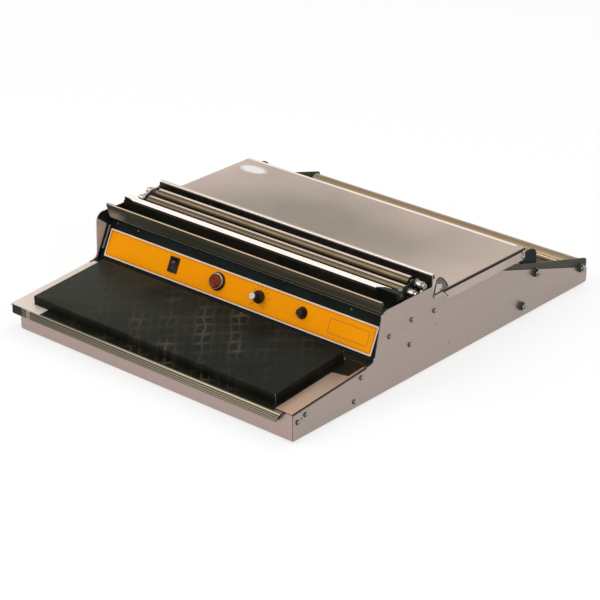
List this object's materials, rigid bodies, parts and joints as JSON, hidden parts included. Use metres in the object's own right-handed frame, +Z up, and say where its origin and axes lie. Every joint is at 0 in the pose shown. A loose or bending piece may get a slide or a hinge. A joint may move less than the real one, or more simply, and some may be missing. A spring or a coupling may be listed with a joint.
{
  "type": "cling film wrapping machine",
  "caption": "Counter-top tray wrapper with a hot plate, a control housing, a hot cutter, film guide rollers and a lift-up work table over the film roll cradle.",
  "frame": {"origin": "middle of the box around the machine, on the surface it stands on", "axes": "+X to the operator's right, +Y from the sealing table in front to the film roll cradle behind, +Z up"},
  "size_m": [0.5, 0.623, 0.1282],
  "materials": {
    "stainless": "bright brushed stainless sheet",
    "cast_aluminium": "machined",
    "nonstick_cloth": "glass cloth with a non-stick coat, slightly glossy",
    "heater_steel": "dull",
    "copper": "drawn",
    "black_sheet": "satin black paint",
    "overlay_film": "printed film, orange, with light lines",
    "black_plastic": "moulded",
    "bright_metal": "plated",
    "red_lens": "clear red moulding",
    "pale_plastic": "moulded",
    "glass": "clear",
    "dark_sheet": "dark grey-green coat",
    "aluminium": "drawn tube, anodised",
    "insulation": "laminate",
    "nonstick_strip": "white non-stick cloth",
    "rubber": "moulded"
  },
  "bodies": {
    "housing": {"side_panel_right": "stainless", "side_panel_left": "stainless", "front_panel": "stainless", "base_plate": "stainless", "rear_bulkhead": "stainless", "table_plate": "stainless", "hot_plate": "cast_aluminium", "plate_cover": "nonstick_cloth", "heating_element": "heater_steel", "element_clamps": "stainless", "sensor_bulb": "copper", "control_panel": "black_sheet", "control_overlay": "overlay_film", "switch_frame": "black_plastic", "lamp_bezel": "black_plastic", "lamp_ring": "bright_metal", "lamp_lens": "red_lens", "thermostat": "heater_steel", "fuse_holder": "black_plastic", "fuse": "glass", "transformer_core": "heater_steel", "transformer_coil": "copper", "terminal_block": "pale_plastic", "cable_gland": "black_plastic", "guard_bar": "dark_sheet", "cutter_carrier": "aluminium", "cutter_pad": "insulation", "cutter_band": "bright_metal", "cutter_strip": "nonstick_strip", "cutter_terminals": "heater_steel", "tension_spring": "bright_metal", "nip_bracket_right": "black_sheet", "nip_bracket_left": "black_sheet", "nip_axles": "bright_metal", "nip_spacers": "bright_metal", "roller_bracket_right": "dark_sheet", "roller_bracket_left": "dark_sheet", "cradle_axles": "bright_metal", "tie_rod": "bright_metal", "axle_nuts": "bright_metal", "side_screws": "bright_metal", "panel_screws": "bright_metal", "feet": "rubber"},
    "work_table": {"deck": "stainless", "deck_bar": "stainless", "deck_trim": "black_plastic", "deck_tabs": "stainless", "deck_hinges": "dark_sheet", "deck_screws": "bright_metal"},
    "front_guide_roller": {"nip_roller_front": "aluminium", "nip_bushes_front": "black_plastic"},
    "rear_guide_roller": {"nip_roller_rear": "aluminium", "nip_bushes_rear": "black_plastic"},
    "front_cradle_roller": {"cradle_roller_front": "aluminium"},
    "rear_cradle_roller": {"cradle_roller_rear": "aluminium"},
    "rocker": {"switch_rocker": "black_plastic"},
    "thermostat_knob": {"knob": "black_plastic", "knob_cap": "pale_plastic", "thermostat_shaft": "bright_metal"},
    "fuse_cap": {"fuse_cap": "black_plastic"}
  },
  "joints": [
    {"name": "work_table_hinge", "type": "hinge", "parent": "housing", "child": "work_table", "pos_m": [0, 0.187, 0.05803], "axis": [-1, 0, 0], "range_deg": [0, 80]},
    {"name": "front_guide_roller_spin", "type": "hinge", "parent": "housing", "child": "front_guide_roller", "pos_m": [0, -0.06802, 0.113], "axis": [1, 0, 0], "continuous": true},
    {"name": "rear_guide_roller_spin", "type": "hinge", "parent": "housing", "child": "rear_guide_roller", "pos_m": [0, -0.05252, 0.119], "axis": [1, 0, 0], "continuous": true},
    {"name": "front_cradle_roller_spin", "type": "hinge", "parent": "housing", "child": "front_cradle_roller", "pos_m": [0, 0.187, 0.05803], "axis": [1, 0, 0], "continuous": true},
    {"name": "rear_cradle_roller_spin", "type": "hinge", "parent": "housing", "child": "rear_cradle_roller", "pos_m": [0, 0.295, 0.02812], "axis": [1, 0, 0], "continuous": true},
    {"name": "rocker_tilt", "type": "hinge", "parent": "housing", "child": "rocker", "pos_m": [-0.11, -0.13809, 0.07357], "axis": [-1, 0, 0], "range_deg": [0, 16]},
    {"name": "knob_turn", "type": "hinge", "parent": "housing", "child": "thermostat_knob", "pos_m": [0.042, -0.139, 0.07399], "axis": [0, 0.9063, -0.4226], "range_deg": [0, 280]},
    {"name": "fuse_cap_turn", "type": "hinge", "parent": "housing", "child": "fuse_cap", "pos_m": [0.114, -0.139, 0.07399], "axis": [0, -0.9063, 0.4226], "range_deg": [0, 90]}
  ]
}
